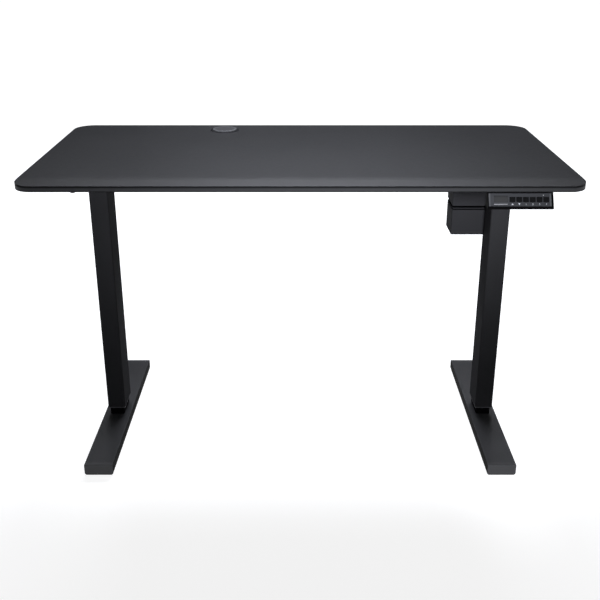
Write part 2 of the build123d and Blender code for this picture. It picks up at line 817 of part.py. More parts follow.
# ================================================================ lead screws, mitre gears and cross shaft
mitre_back = shaft_z - mitre_radius  # back face of the screw's mitre gear
tip_scale = (mitre_radius - mitre_face) / mitre_radius
for side, sign in sides:
    leg_x = sign * column_x
    with BuildPart() as lead_screw:
        with BuildSketch(Plane.XY.offset(case_bottom - lead_screw_length)):
            with Locations((leg_x, 0)):
                Circle(lead_screw_radius)
        extrude(amount=lead_screw_length - moving_gap)
        chamfer(lead_screw.edges().group_by(Axis.Z)[0], lead_screw_chamfer)
        with BuildSketch(Plane.XY.offset(case_bottom - moving_gap)):
            with Locations((leg_x, 0)):
                Circle(spindle_radius)
        extrude(amount=mitre_back - case_bottom + moving_gap + mitre_face / 2)
    with BuildPart() as screw_gear:
        gear_plane = Plane(origin=(leg_x, 0, mitre_back))
        with BuildSketch(gear_plane):
            with BuildLine():
                Polyline(*gear_points(mitre_teeth, mitre_module, mitre_backlash, turn=0.5), close=True)
            make_face()
        with BuildSketch(gear_plane.offset(mitre_face)):
            with BuildLine():
                Polyline(
                    *gear_points(mitre_teeth, mitre_module, mitre_backlash, tip_scale, turn=0.5),
                    close=True,
                )
            make_face()
        loft(ruled=True)
        with BuildSketch(Plane.XY.offset(case_bottom + case_floor + moving_gap)):
            with Locations((leg_x, 0)):
                Circle(screw_hub_radius)
        extrude(amount=mitre_back - case_bottom - case_floor - moving_gap)
        with BuildSketch(Plane.XY.offset(case_bottom + case_floor)):
            with Locations((leg_x, 0)):
                Circle(spindle_radius)
        extrude(amount=mitre_back - case_bottom - case_floor + mitre_face / 2, mode=Mode.SUBTRACT)
    lead_screw_set = Compound(children=[lead_screw.part, screw_gear.part])
    save(lead_screw_set, f"{side}_lead_screw")

with BuildPart() as screw_bearings:
    for side, sign in sides:
        with BuildSketch(Plane.XY.offset(case_bottom + case_floor - bearing_height)):
            with Locations((sign * column_x, 0)):
                Circle(bearing_radius)
                Circle(spindle_radius + running, mode=Mode.SUBTRACT)
        extrude(amount=bearing_height)
save(screw_bearings.part, "screw_bearings")

shaft_end = column_x - mitre_radius  # back faces of the shaft's mitre gears
spur_x = unit_right - unit_wall - spur_inset  # right face of the spur pair
hub_length = shaft_end - (column_x - outer_width / 2) + hub_overhang
with BuildPart() as cross_shaft:
    with BuildSketch(Plane.YZ.offset(-shaft_end - mitre_face / 2)):
        with Locations((0, shaft_z)):
            RegularPolygon(shaft_across_flats / 2, 6, major_radius=False)
    extrude(amount=2 * shaft_end + mitre_face)
save(cross_shaft.part, "cross_shaft")

with BuildPart() as shaft_gears:
    for side, sign in sides:
        gear_plane = Plane(
            origin=(sign * shaft_end, 0, shaft_z), x_dir=(0, 1, 0), z_dir=(sign, 0, 0)
        )
        with BuildSketch(gear_plane):
            with BuildLine():
                Polyline(*gear_points(mitre_teeth, mitre_module, mitre_backlash), close=True)
            make_face()
        with BuildSketch(gear_plane.offset(mitre_face)):
            with BuildLine():
                Polyline(
                    *gear_points(mitre_teeth, mitre_module, mitre_backlash, tip_scale), close=True
                )
            make_face()
        loft(ruled=True)
        with BuildSketch(gear_plane):
            Circle(mitre_hub_radius)
        extrude(amount=-hub_length)
        with BuildSketch(gear_plane.offset(-hub_length)):
            RegularPolygon(shaft_across_flats / 2, 6, major_radius=False)
        extrude(amount=hub_length + mitre_face / 2, mode=Mode.SUBTRACT)
    # the spur gear inside the gearbox shell, by which the motor drives the shaft
    spur_plane = Plane(origin=(spur_x - spur_face, 0, shaft_z), x_dir=(0, 1, 0), z_dir=(1, 0, 0))
    with BuildSketch(spur_plane):
        with BuildLine():
            Polyline(*gear_points(spur_teeth, spur_module, spur_backlash), close=True)
        make_face()
    extrude(amount=spur_face)
    with BuildSketch(spur_plane):
        RegularPolygon(shaft_across_flats / 2, 6, major_radius=False)
    extrude(amount=spur_face, mode=Mode.SUBTRACT)
save(shaft_gears.part, "shaft_gears")

# ================================================================ motor unit beside the right column
unit_bottom = web_bottom - unit_drop
cover_top = unit_bottom + cover_height
strip_bottom = cover_top + lower_groove
shell_bottom = strip_bottom + strip_height + upper_groove
shell_top = web_bottom - shell_drop
unit_plan = (motor_x, motor_y)
motor_bottom = unit_bottom + unit_wall + motor_base_gap
motor_top = motor_bottom + motor_length
jack_left = unit_left + shell_lid
jack_right = unit_right - unit_wall

with BuildPart() as motor_cover:
    with BuildSketch(Plane.XY.offset(unit_bottom)):
        with Locations(unit_plan):
            RectangleRounded(unit_width, unit_depth, unit_edge_radius)
    extrude(amount=cover_height)
    fillet(motor_cover.edges().group_by(Axis.Z)[0], cover_bottom_radius)
    with BuildSketch(Plane.XY.offset(unit_bottom + unit_wall)):
        with Locations(unit_plan):
            RectangleRounded(
                unit_width - 2 * unit_wall,
                unit_depth - 2 * unit_wall,
                unit_edge_radius - unit_wall,
            )
    extrude(amount=cover_height, mode=Mode.SUBTRACT)
    # ring of ribs that centres the motor on the cover's floor
    with BuildSketch(Plane.XY.offset(unit_bottom + unit_wall)):
        with Locations(unit_plan):
            Circle(motor_radius - motor_seat_inset)
            Circle(motor_radius - motor_seat_inset - unit_wall, mode=Mode.SUBTRACT)
    extrude(amount=motor_base_gap)
save(motor_cover.part, "motor_cover")

with BuildPart() as motor_flange:
    with BuildSketch(Plane.XY.offset(cover_top)):
        with Locations(unit_plan):
            Rectangle(unit_width - 2 * groove_depth, unit_depth - 2 * groove_depth)
    extrude(amount=shell_bottom - cover_top)
    with BuildSketch(Plane.XY.offset(strip_bottom)):
        with Locations(unit_plan):
            RectangleRounded(unit_width, unit_depth, unit_edge_radius)
    extrude(amount=strip_height)
    with BuildSketch(Plane.XY.offset(cover_top)):
        with Locations(unit_plan):
            Circle(motor_radius + motor_slack)
    extrude(amount=shell_bottom - cover_top, mode=Mode.SUBTRACT)
save(motor_flange.part, "motor_flange")


def shell_profile(inset):
    """Side outline of the gearbox shell, drawn in from its outer faces by inset."""
    back = unit_front + unit_depth - inset
    front = unit_front + inset
    nose = unit_front - shell_nose + inset
    nose_bottom = shell_top - shell_nose_height + inset
    Polyline(
        (front, shell_bottom + inset),
        (back, shell_bottom + inset),
        (back, shell_top - inset),
        (nose, shell_top - inset),
        (nose, nose_bottom),
        (front, nose_bottom),
        close=True,
    )


def outer_shell_edges(shell):
    """The edges along X at the shell's top and under its nose."""
    along = shell.edges().filter_by(Axis.X)
    return along.group_by(Axis.Z)[-1] + along.group_by(Axis.Y)[0].sort_by(Axis.Z)[:1]


with BuildPart() as gearbox_shell:
    with BuildSketch(Plane.YZ.offset(jack_left)):
        with BuildLine():
            shell_profile(0)
        make_face()
    extrude(amount=unit_right - jack_left)
    fillet(outer_shell_edges(gearbox_shell), shell_corner)
    fillet(gearbox_shell.faces().sort_by(Axis.X)[-1].outer_wire().edges(), shell_edge_radius)
    with BuildSketch(Plane.YZ.offset(jack_left)):
        with BuildLine():
            shell_profile(unit_wall)
        make_face()
    extrude(amount=jack_right - jack_left, mode=Mode.SUBTRACT)
    with BuildSketch(Plane.XY.offset(shell_bottom)):
        with Locations(unit_plan):
            Circle(motor_radius + motor_slack)
    extrude(amount=unit_wall, mode=Mode.SUBTRACT)
    # bearings for the cross shaft's gear and for the jack shaft's end
    with BuildSketch(Plane.YZ.offset(jack_right)):
        with Locations((0, shaft_z)):
            Circle(shaft_hole_radius)
    extrude(amount=unit_wall, mode=Mode.SUBTRACT)
    with BuildSketch(Plane.YZ.offset(jack_right)):
        with Locations((jack_y, shaft_z)):
            Circle(jack_radius + jack_boss_wall)
    extrude(amount=-jack_journal)
    with BuildSketch(Plane.YZ.offset(jack_right)):
        with Locations((jack_y, shaft_z)):
            Circle(jack_radius + running)
    extrude(amount=-jack_journal, mode=Mode.SUBTRACT)
save(gearbox_shell.part, "gearbox_shell")

with BuildPart() as gearbox_lid:
    with BuildSketch(Plane.YZ.offset(unit_left)):
        with BuildLine():
            shell_profile(0)
        make_face()
    extrude(amount=shell_lid)
    fillet(outer_shell_edges(gearbox_lid), shell_corner)
    fillet(gearbox_lid.faces().sort_by(Axis.X)[0].outer_wire().edges(), shell_edge_radius)
    with BuildSketch(Plane.YZ.offset(unit_left)):
        with Locations((0, shaft_z)):
            Circle(shaft_hole_radius)
    extrude(amount=shell_lid, mode=Mode.SUBTRACT)
    with BuildSketch(Plane.YZ.offset(jack_left)):
        with Locations((jack_y, shaft_z)):
            Circle(jack_radius + jack_boss_wall)
    extrude(amount=jack_journal)
    with BuildSketch(Plane.YZ.offset(jack_left)):
        with Locations((jack_y, shaft_z)):
            Circle(jack_radius + running)
    extrude(amount=jack_journal, mode=Mode.SUBTRACT)
save(gearbox_lid.part, "gearbox_lid")

with BuildPart() as motor:
    with BuildSketch(Plane.XY.offset(motor_bottom)):
        with Locations(unit_plan):
            Circle(motor_radius)
    extrude(amount=motor_length)
    fillet(motor.edges().group_by(Axis.Z)[0], motor_edge_radius)
    with BuildSketch(Plane.XY.offset(motor_top)):
        with Locations(unit_plan):
            Circle(motor_nose_radius)
    extrude(amount=motor_nose_length)
    with BuildSketch(Plane.XY.offset(motor_top - motor_shaft_depth)):
        with Locations(unit_plan):
            Circle(motor_shaft_radius + running)
    extrude(amount=motor_shaft_depth + motor_nose_length, mode=Mode.SUBTRACT)
save(motor.part, "motor")

with BuildPart() as motor_worm:
    with BuildSketch(Plane.XY.offset(motor_top - motor_shaft_depth + moving_gap)):
        with Locations(unit_plan):
            Circle(motor_shaft_radius)
    extrude(amount=shell_top - unit_wall - motor_top + motor_shaft_depth - 2 * moving_gap)
    with BuildSketch(Plane.XY.offset(shaft_z - worm_length / 2)):
        with Locations(unit_plan):
            Circle(worm_radius)
    extrude(amount=worm_length)
save(motor_worm.part, "motor_worm")

with BuildPart() as jack_shaft:
    with BuildSketch(Plane.YZ.offset(jack_left + moving_gap)):
        with Locations((jack_y, shaft_z)):
            Circle(jack_radius)
    extrude(amount=jack_right - jack_left - 2 * moving_gap)
save(jack_shaft.part, "jack_shaft")

with BuildPart() as jack_gears:
    wheel_plane = Plane(
        origin=(motor_x - spur_face / 2, jack_y, shaft_z), x_dir=(0, 1, 0), z_dir=(1, 0, 0)
    )
    with BuildSketch(wheel_plane):
        with BuildLine():
            Polyline(*gear_points(worm_wheel_teeth, worm_module, spur_backlash), close=True)
        make_face()
        Circle(jack_radius, mode=Mode.SUBTRACT)
    extrude(amount=spur_face)
    pinion_plane = Plane(
        origin=(spur_x - spur_face, jack_y, shaft_z), x_dir=(0, 1, 0), z_dir=(1, 0, 0)
    )
    with BuildSketch(pinion_plane):
        with BuildLine():
            Polyline(*gear_points(spur_teeth, spur_module, spur_backlash, turn=0.5), close=True)
        make_face()
        Circle(jack_radius, mode=Mode.SUBTRACT)
    extrude(amount=spur_face)
save(jack_gears.part, "jack_gears")

# ================================================================ control box under the desktop
box_bottom = underside - box_height
standoff_places = [
    (
        box_x + x * (box_length / 2 - standoff_inset_x),
        box_y + y * (box_depth / 2 - standoff_inset_y),
    )
    for x in (-1, 1)
    for y in (-1, 1)
]
port_places = [-port_pitch, 0, port_pitch]
socket_z = box_bottom + box_wall + board_standoff + board_thickness + power_socket_height / 2
with BuildPart() as control_box:
    with BuildSketch(Plane.XY.offset(box_bottom)):
        with Locations((box_x, box_y)):
            RectangleRounded(box_length, box_depth, box_radius)
    extrude(amount=box_height - plate_thickness)
    fillet(control_box.edges().group_by(Axis.Z)[0], box_edge_radius)
    with BuildSketch(Plane.XY.offset(box_bottom + box_wall)):
        with Locations((box_x, box_y)):
            RectangleRounded(
                box_length - 2 * box_wall, box_depth - 2 * box_wall, box_radius - box_wall
            )
    extrude(amount=box_height, mode=Mode.SUBTRACT)
    with BuildSketch(Plane.XY.offset(box_bottom + box_wall)):
        with Locations(*standoff_places):
            Circle(standoff_radius)
    extrude(amount=board_standoff)
    with BuildSketch(Plane.YZ.offset(box_x - box_length / 2)):
        with Locations((box_y, socket_z)):
            Rectangle(power_socket_width, power_socket_height)
    extrude(amount=box_wall, mode=Mode.SUBTRACT)
    with BuildSketch(Plane.YZ.offset(box_x + box_length / 2)):
        with Locations(*[(box_y + y, socket_z) for y in port_places]):
            Rectangle(port_width, port_height)
    extrude(amount=-box_wall, mode=Mode.SUBTRACT)
save(control_box.part, "control_box")

with BuildPart() as control_plate:
    with BuildSketch(Plane.XY.offset(underside - plate_thickness)):
        with Locations((box_x, box_y)):
            RectangleRounded(box_length + 2 * ear_length, box_depth, box_radius)
        with Locations(*ear_places):
            Circle(ear_hole_radius, mode=Mode.SUBTRACT)
    extrude(amount=plate_thickness)
save(control_plate.part, "control_plate")

with BuildPart() as control_board:
    board_bottom = box_bottom + box_wall + board_standoff
    with BuildSketch(Plane.XY.offset(board_bottom)):
        with Locations((box_x, box_y)):
            Rectangle(box_length - 2 * board_end_gap, box_depth - 2 * board_side_gap)
    extrude(amount=board_thickness)
    with BuildSketch(Plane.XY.offset(board_bottom + board_thickness)):
        with Locations((box_x + transformer_place, box_y)):
            Rectangle(transformer_length, transformer_width)
        with Locations(
            (box_x + capacitor_place, box_y - capacitor_pitch / 2),
            (box_x + capacitor_place, box_y + capacitor_pitch / 2),
        ):
            Circle(capacitor_radius)
        with Locations((box_x + heatsink_place, box_y)):
            Rectangle(heatsink_length, heatsink_width)
    extrude(amount=part_height)
save(control_board.part, "control_board")

with BuildPart() as box_sockets:
    with BuildSketch(Plane.YZ.offset(box_x - box_length / 2)):
        with Locations((box_y, socket_z)):
            Rectangle(power_socket_width, power_socket_height)
    extrude(amount=socket_depth)
    with BuildSketch(Plane.YZ.offset(box_x - box_length / 2)):
        with Locations((box_y, socket_z)):
            RectangleRounded(
                power_socket_width - 2 * power_socket_rim_x,
                power_socket_height - 2 * power_socket_rim_y,
                power_socket_corner,
            )
    extrude(amount=socket_depth - socket_back, mode=Mode.SUBTRACT)
    with BuildSketch(Plane.YZ.offset(box_x + box_length / 2)):
        with Locations(*[(box_y + y, socket_z) for y in port_places]):
            Rectangle(port_width, port_height)
    extrude(amount=-socket_depth)
    with BuildSketch(Plane.YZ.offset(box_x + box_length / 2)):
        with Locations(*[(box_y + y, socket_z) for y in port_places]):
            Rectangle(port_width - 2 * port_rim_x, port_height - 2 * port_rim_y)
    extrude(amount=socket_back - socket_depth, mode=Mode.SUBTRACT)
save(box_sockets.part, "box_sockets")

# ================================================================ handset under the front edge
nose_y = front_y + handset_nose
handset_back = nose_y + handset_depth
handset_bottom = underside - handset_height
lean = tan(radians(handset_lean))
slant_y = nose_y + handset_slant_start
slant_top = handset_bottom + handset_slant_height
key_xs = [handset_x + key_first + i * key_pitch for i in range(key_count)]
key_places = [(x, key_rise) for x in key_xs]
display_place = (handset_x + display_from_left + display_width / 2, display_rise)
lamp_place = (handset_x + lamp_from_left, lamp_rise)
fascia_width = handset_width - handset_left_rim - handset_right_rim
fascia_place = (handset_x + handset_left_rim + fascia_width / 2, handset_chin + fascia_height / 2)
lip_depth = handset_wall + key_gap  # from the face to the front of the lip behind each key
board_depth = lip_depth + key_lip_thickness + key_travel + switch_gap + switch_height
# the leaning face: X along the desktop, Y up the face from its lower edge, Z out to the user
face_plane = Plane(
    origin=(0, nose_y, handset_bottom),
    x_dir=(1, 0, 0),
    z_dir=(0, -cos(radians(handset_lean)), sin(radians(handset_lean))),
)

with BuildPart() as handset_housing:
    with BuildSketch(Plane.YZ.offset(handset_x)) as side_view:
        with BuildLine():
            Polyline(
                (nose_y + handset_height * lean, underside),
                (nose_y, handset_bottom),
                (slant_y, handset_bottom),
                (handset_back, slant_top),
                (handset_back, underside),
                close=True,
            )
        make_face()
        fillet(side_view.vertices().group_by(Axis.Y)[0], handset_edge_radius)
    extrude(amount=handset_width)
    with BuildSketch(Plane.XZ.offset(-handset_back)) as front_view:
        with Locations((handset_x + handset_width / 2, underside - handset_height / 2)):
            Rectangle(handset_width, handset_height)
        fillet(front_view.vertices().group_by(Axis.Y)[0], handset_end_radius)
    extrude(amount=handset_depth, mode=Mode.INTERSECT)
    with BuildSketch(Plane.YZ.offset(handset_x + handset_wall)):
        inner_nose = nose_y + handset_wall / cos(radians(handset_lean))
        with BuildLine():
            Polyline(
                (inner_nose + handset_height * lean, underside),
                (inner_nose + handset_wall * lean, handset_bottom + handset_wall),
                (slant_y, handset_bottom + handset_wall),
                (handset_back - handset_wall, slant_top + handset_wall),
                (handset_back - handset_wall, underside),
                close=True,
            )
        make_face()
    extrude(amount=handset_width - 2 * handset_wall, mode=Mode.SUBTRACT)
    # ears behind the housing take the two screws
    with BuildSketch(Plane.XY.offset(underside - handset_ear_thickness)):
        with Locations(*handset_ears):
            Rectangle(handset_ear_width, handset_ear_depth)
            Circle(ear_hole_radius, mode=Mode.SUBTRACT)
    extrude(amount=handset_ear_thickness)
    # recess for the fascia, then the openings behind it
    with BuildSketch(face_plane):
        with Locations(fascia_place):
            Rectangle(fascia_width, fascia_height)
    extrude(amount=-fascia_thickness, mode=Mode.SUBTRACT)
    with BuildSketch(face_plane):
        with Locations(*key_places):
            RectangleRounded(key_width + 2 * key_gap, key_height + 2 * key_gap, key_corner + key_gap)
        with Locations(display_place):
            Rectangle(display_width - 2 * display_rim, display_height - 2 * display_rim)
        with Locations(lamp_place):
            Circle(lamp_radius)
    extrude(amount=-handset_wall, mode=Mode.SUBTRACT)
save(handset_housing.part, "handset_housing")

with BuildPart() as handset_fascia:
    with BuildSketch(face_plane):
        with Locations(fascia_place):
            Rectangle(fascia_width, fascia_height)
        with Locations(*key_places):
            RectangleRounded(
                key_width + 2 * key_gap,
                key_height + 2 * key_gap,
                key_corner + key_gap,
                mode=Mode.SUBTRACT,
            )
        with Locations(display_place):
            Rectangle(display_width, display_height, mode=Mode.SUBTRACT)
        with Locations(lamp_place):
            Circle(lamp_radius, mode=Mode.SUBTRACT)
    extrude(amount=-fascia_thickness)
save(handset_fascia.part, "handset_fascia")

with BuildPart() as handset_display:
    with BuildSketch(face_plane):
        with Locations(display_place):
            Rectangle(display_width, display_height)
        with Locations(lamp_place):
            Circle(lamp_radius)
    extrude(amount=-fascia_thickness)
    with BuildSketch(face_plane.offset(-fascia_thickness)):
        with Locations(display_place):
            Rectangle(display_width - 2 * display_rim, display_height - 2 * display_rim)
        with Locations(lamp_place):
            Circle(lamp_radius)
    extrude(amount=fascia_thickness - board_depth)
save(handset_display.part, "handset_display")

with BuildPart() as handset_board:
    board_plane = face_plane.offset(-board_depth)
    with BuildSketch(board_plane):
        with Locations((handset_x + handset_width / 2, key_rise)):
            Rectangle(handset_width - 2 * handset_wall, handset_board_height)
    extrude(amount=-handset_board_thickness)
    with BuildSketch(board_plane):
        with Locations(*key_places):
            Rectangle(switch_size, switch_size)
    extrude(amount=switch_height)
save(handset_board.part, "handset_board")

key_names = ("key_up", "key_down", "key_1", "key_2", "key_3", "key_4")
face_axis = Axis(face_plane.origin, face_plane.z_dir)
for name, key_place in zip(key_names, key_places):
    with BuildPart() as key:
        with BuildSketch(face_plane.offset(key_proud)):
            with Locations(key_place):
                RectangleRounded(key_width, key_height, key_corner)
        extrude(amount=-(key_proud + lip_depth + key_lip_thickness))
        chamfer(key.faces().sort_by(face_axis)[-1].edges(), key_chamfer)
        with BuildSketch(face_plane.offset(-lip_depth)):
            with Locations(key_place):
                Rectangle(key_width + 2 * key_lip, key_height + 2 * key_lip)
        extrude(amount=-key_lip_thickness)
    save(key.part, name)
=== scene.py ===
"""Looks of the height adjustable standing desk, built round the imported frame.

Everything is in metres in the frame's own axes: +Z up, +X towards the handset's end, and the
user sits on the -Y side.
"""

import json
import math

import bpy
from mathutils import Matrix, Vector


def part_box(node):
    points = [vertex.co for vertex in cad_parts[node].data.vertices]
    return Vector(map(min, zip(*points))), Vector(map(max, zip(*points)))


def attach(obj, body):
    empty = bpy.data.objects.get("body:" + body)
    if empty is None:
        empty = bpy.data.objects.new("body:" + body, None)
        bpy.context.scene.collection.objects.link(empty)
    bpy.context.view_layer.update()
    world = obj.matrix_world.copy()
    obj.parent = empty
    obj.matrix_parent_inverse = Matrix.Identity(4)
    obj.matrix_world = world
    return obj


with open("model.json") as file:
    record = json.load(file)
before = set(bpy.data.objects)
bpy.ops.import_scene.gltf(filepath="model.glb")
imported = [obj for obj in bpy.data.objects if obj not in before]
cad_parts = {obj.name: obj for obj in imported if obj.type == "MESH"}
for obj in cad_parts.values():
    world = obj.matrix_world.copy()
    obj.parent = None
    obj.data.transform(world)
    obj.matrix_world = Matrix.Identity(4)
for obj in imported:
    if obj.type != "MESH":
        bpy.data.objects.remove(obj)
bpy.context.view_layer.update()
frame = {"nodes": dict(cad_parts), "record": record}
nodes = frame["nodes"]

line_and_shade_blend = 0.0004  # height over which a painted line fades in: the desktop's edge lines and the painted shade bands along the motor's flange


# ------------------------------------------------------------------ node helpers
def new_material(name):
    """A material with an empty tree but for its Principled shader and output."""
    material = bpy.data.materials.new(name)
    material.use_nodes = True
    tree = material.node_tree
    shader = tree.nodes["Principled BSDF"]
    return material, tree, shader


def object_coords(tree):
    """Coordinates in metres that stay with the piece as it moves."""
    return tree.nodes.new("ShaderNodeTexCoord").outputs["Object"]


def face_normal(tree):
    """The direction that each point of the surface looks in."""
    return tree.nodes.new("ShaderNodeNewGeometry").outputs["Normal"]


def noise(tree, coords, scale, detail=3.0, roughness=0.55, stretch=None):
    """A noise field, with the coordinates first scaled along each axis where stretch is given."""
    if stretch is not None:
        mapping = tree.nodes.new("ShaderNodeMapping")
        mapping.inputs["Scale"].default_value = stretch
        tree.links.new(coords, mapping.inputs["Vector"])
        coords = mapping.outputs["Vector"]
    field = tree.nodes.new("ShaderNodeTexNoise")
    field.inputs["Scale"].default_value = scale
    field.inputs["Detail"].default_value = detail
    field.inputs["Roughness"].default_value = roughness
    tree.links.new(coords, field.inputs["Vector"])
    return field.outputs["Fac"]


def remap(tree, value, low, high, to_low, to_high):
    """Map value from low..high to to_low..to_high, held at the ends."""
    node = tree.nodes.new("ShaderNodeMapRange")
    node.inputs["From Min"].default_value = low
    node.inputs["From Max"].default_value = high
    node.inputs["To Min"].default_value = to_low
    node.inputs["To Max"].default_value = to_high
    tree.links.new(value, node.inputs["Value"])
    return node.outputs["Result"]


def math_node(tree, operation, first, second=0.0):
    """One Math node; each input is a socket or a number."""
    node = tree.nodes.new("ShaderNodeMath")
    node.operation = operation
    for socket, value in zip(node.inputs, (first, second)):
        if isinstance(value, (int, float)):
            socket.default_value = value
        else:
            tree.links.new(value, socket)
    return node.outputs["Value"]


def mix_colour(tree, factor, first, second):
    """A colour between first and second; each is a socket or an RGB triple."""
    node = tree.nodes.new("ShaderNodeMix")
    node.data_type = "RGBA"
    tree.links.new(factor, node.inputs["Factor"])
    colours = [s for s in node.inputs if s.type == "RGBA"]
    for socket, value in zip(colours, (first, second)):
        if isinstance(value, tuple):
            socket.default_value = (*value, 1.0)
        else:
            tree.links.new(value, socket)
    return [s for s in node.outputs if s.type == "RGBA"][0]


def axis_share(tree, vector, axis):
    """One axis of a vector socket."""
    split = tree.nodes.new("ShaderNodeSeparateXYZ")
    tree.links.new(vector, split.inputs["Vector"])
    return split.outputs[axis]


def bump(tree, height, strength, distance, below=None):
    """A bump from height; below is another bump's normal that it lies on."""
    node = tree.nodes.new("ShaderNodeBump")
    node.inputs["Strength"].default_value = strength
    node.inputs["Distance"].default_value = distance
    tree.links.new(height, node.inputs["Height"])
    if below is not None:
        tree.links.new(below, node.inputs["Normal"])
    return node.outputs["Normal"]


def darkened(material, shade, where, gloss=0.002):
    """Give material shade for its colour, and gloss for its specular level, where where(tree) is 1."""
    tree = material.node_tree
    shader = tree.nodes["Principled BSDF"]
    share = where(tree)
    face = shader.inputs["Base Color"].links[0].from_socket
    tree.links.new(mix_colour(tree, share, face, shade), shader.inputs["Base Color"])
    specular = shader.inputs["Specular IOR Level"]
    level = specular.links[0].from_socket if specular.links else specular.default_value
    rest = remap(tree, share, 0.0, 1.0, 1.0, 0.0)
    tree.links.new(math_node(tree, "ADD", math_node(tree, "MULTIPLY", rest, level),
                             math_node(tree, "MULTIPLY", share, gloss)), specular)


def looks_sideways(tree):
    """1 on the faces that look along the desk, left or right."""
    across = math_node(tree, "ABSOLUTE", axis_share(tree, face_normal(tree), "X"))
    return remap(tree, across, 0.75, 0.9, 0.0, 1.0)


def looks_up(tree):
    """1 on the faces that look up."""
    return remap(tree, axis_share(tree, face_normal(tree), "Z"), 0.45, 0.85, 0.0, 1.0)


def inside_cap_rim(tree):
    """1 on the grommet cap within its rim."""
    low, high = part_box("grommet_cap")
    middle = (low + high) / 2
    radius = (high.x - low.x) / 2
    rim_inner = 0.78 * radius
    rim_blend = 0.06 * radius
    flat = tree.nodes.new("ShaderNodeCombineXYZ")
    coords = object_coords(tree)
    for axis in ("X", "Y"):
        tree.links.new(axis_share(tree, coords, axis), flat.inputs[axis])
    away = tree.nodes.new("ShaderNodeVectorMath")
    away.operation = "DISTANCE"
    tree.links.new(flat.outputs["Vector"], away.inputs[0])
    away.inputs[1].default_value = (middle.x, middle.y, 0.0)
    return remap(tree, away.outputs["Value"], rim_inner + rim_blend, rim_inner, 0.0, 1.0)


def flange_shade_bands(tree):
    """1 on the two bands of painted shade, in the gaps along the top and bottom of the motor's flange.
    """
    low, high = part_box("motor_flange")
    upper_shade, lower_shade = 0.0048, 0.0030
    height = axis_share(tree, object_coords(tree), "Z")
    upper_from = high.z - upper_shade
    lower_to = low.z + lower_shade
    upper = remap(tree, height, upper_from - line_and_shade_blend, upper_from, 0.0, 1.0)
    lower = remap(tree, height, lower_to + line_and_shade_blend, lower_to, 0.0, 1.0)
    return math_node(tree, "MAXIMUM", upper, lower)


def grained(name, colour, spread, roughness, grain, grain_depth, cloud=6.0, metallic=0.0,
            specular=0.5):
    """A moulded, painted or cast surface: clouded colour, uneven roughness and a fine grain."""
    material, tree, shader = new_material(name)
    coords = object_coords(tree)
    clouds = noise(tree, coords, cloud, 4.0)
    fine = noise(tree, coords, grain, 2.0, 0.6)
    mixed = math_node(tree, "ADD", math_node(tree, "MULTIPLY", clouds, 0.5),
                      math_node(tree, "MULTIPLY", fine, 0.5))
    dark = tuple(c * (1 - spread) for c in colour)
    light = tuple(c * (1 + spread) for c in colour)
    tree.links.new(mix_colour(tree, remap(tree, mixed, 0.3, 0.7, 0.0, 1.0), dark, light),
                   shader.inputs["Base Color"])
    tree.links.new(remap(tree, clouds, 0.3, 0.7, roughness - 0.06, roughness + 0.06),
                   shader.inputs["Roughness"])
    shader.inputs["Metallic"].default_value = metallic
    shader.inputs["Specular IOR Level"].default_value = specular
    tree.links.new(bump(tree, fine, 0.35, grain_depth), shader.inputs["Normal"])
    return material


# ------------------------------------------------------------------ materials
def desktop_film():
    """Dark grey matt film pressed over the board, with a fine pore grain along the desk."""
    material, tree, shader = new_material("desktop_film")
    coords = object_coords(tree)
    pores = noise(tree, coords, 900.0, 2.0, 0.6)
    flecks = noise(tree, coords, 260.0, 3.0, 0.65, (0.35, 1.0, 1.0))
    clouds = noise(tree, coords, 3.0, 3.0)
    mixed = math_node(tree, "ADD", math_node(tree, "MULTIPLY", pores, 0.45),
                      math_node(tree, "ADD", math_node(tree, "MULTIPLY", flecks, 0.35),
                                math_node(tree, "MULTIPLY", clouds, 0.2)))
    face = mix_colour(tree, remap(tree, mixed, 0.35, 0.65, 0.0, 1.0),
                      (0.0076, 0.0078, 0.0085), (0.0098, 0.0100, 0.0109))

    # the edges are paler, with a dark line along the top and bottom of the front one
    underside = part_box("desktop")[0].z
    lip_from, rim_to = underside + 0.0086, underside + 0.0017
    height = axis_share(tree, coords, "Z")
    rise = axis_share(tree, face_normal(tree), "Z")
    front = remap(tree, axis_share(tree, face_normal(tree), "Y"), -0.22, -0.5, 0.0, 1.0)
    lip = math_node(tree, "MULTIPLY", front,
                    remap(tree, height, lip_from, lip_from + 2 * line_and_shade_blend, 0.0, 1.0))
    rim = math_node(tree, "MULTIPLY", front,
                    remap(tree, height, rim_to + line_and_shade_blend, rim_to, 0.0, 1.0))
    edge = remap(tree, rise, 0.8, 0.5, 0.0, 1.0)
    under = remap(tree, rise, -0.6, -0.8, 0.0, 1.0)
    for share, colour in ((edge, (0.0205, 0.0207, 0.0218)), (lip, (0.0060, 0.0061, 0.0064)),
                          (rim, (0.0020, 0.0020, 0.0021)), (under, (0.012, 0.012, 0.013))):
        face = mix_colour(tree, share, face, colour)
    tree.links.new(face, shader.inputs["Base Color"])
    tree.links.new(remap(tree, mixed, 0.35, 0.65, 0.33, 0.41), shader.inputs["Roughness"])
    tree.links.new(remap(tree, math_node(tree, "MAXIMUM", lip, rim), 0.0, 1.0, 0.058, 0.01),
                   shader.inputs["Specular IOR Level"])
    fine = bump(tree, pores, 0.25, 0.00008)
    tree.links.new(bump(tree, flecks, 0.2, 0.00010, fine), shader.inputs["Normal"])
    return material


